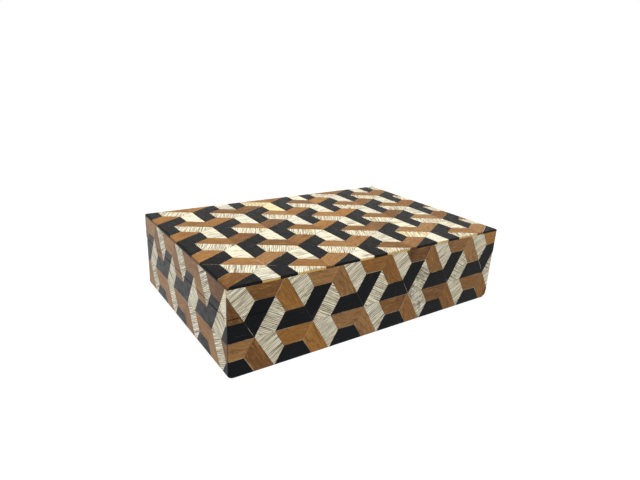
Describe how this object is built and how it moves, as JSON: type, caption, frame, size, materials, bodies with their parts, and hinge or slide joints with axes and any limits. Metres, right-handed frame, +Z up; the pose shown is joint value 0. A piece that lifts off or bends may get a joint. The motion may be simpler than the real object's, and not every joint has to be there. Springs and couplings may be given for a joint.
{
  "type": "inlaid wooden box",
  "caption": "Rectangular wooden box with a hinged lid, faced all over with a chevron inlay of bone, black and brown half-hexagon tiles, felt-lined inside.",
  "frame": {"origin": "centre of the underside, on the surface that the box stands on", "axes": "+X to the right along the box's length, -Y out of the front, +Y out of the hinged back, +Z up"},
  "size_m": [0.2486, 0.1648, 0.0635],
  "materials": {
    "inlay": "lacquered",
    "bone_tiles": "lacquered",
    "black_tiles": "lacquered",
    "brown_tiles": "lacquered",
    "carcass_wood": "oiled",
    "lining_felt": "napped",
    "underside_felt": "napped",
    "hinge_brass": "satin",
    "brass_screws": "satin"
  },
  "bodies": {
    "box_base": {"underside_felt": "underside_felt", "base_floor_board": "carcass_wood", "base_floor_lining": "lining_felt", "base_front_wall": "carcass_wood", "base_back_wall": "carcass_wood", "base_left_wall": "carcass_wood", "base_right_wall": "carcass_wood", "base_front_inlay": "inlay", "base_back_inlay": "inlay", "base_left_inlay": "inlay", "base_right_inlay": "inlay", "left_hinge_base_leaf": "hinge_brass", "left_hinge_pin": "hinge_brass", "left_hinge_base_outer_screw": "brass_screws", "left_hinge_base_inner_screw": "brass_screws", "right_hinge_base_leaf": "hinge_brass", "right_hinge_pin": "hinge_brass", "right_hinge_base_outer_screw": "brass_screws", "right_hinge_base_inner_screw": "brass_screws"},
    "lid": {"lid_panel": "carcass_wood", "lid_lining": "lining_felt", "lid_top_inlay": "inlay", "lid_front_rail": "carcass_wood", "lid_back_rail": "carcass_wood", "lid_left_rail": "carcass_wood", "lid_right_rail": "carcass_wood", "lid_front_inlay": "inlay", "lid_back_inlay": "inlay", "lid_left_inlay": "inlay", "lid_right_inlay": "inlay", "left_hinge_lid_leaf": "hinge_brass", "left_hinge_lid_outer_screw": "brass_screws", "left_hinge_lid_inner_screw": "brass_screws", "right_hinge_lid_leaf": "hinge_brass", "right_hinge_lid_outer_screw": "brass_screws", "right_hinge_lid_inner_screw": "brass_screws"}
  },
  "joints": [
    {"name": "lid_hinge", "type": "hinge", "parent": "box_base", "child": "lid", "pos_m": [0, 0.0808, 0.0418], "axis": [-1, 0, 0], "range_deg": [0, 95]}
  ]
}
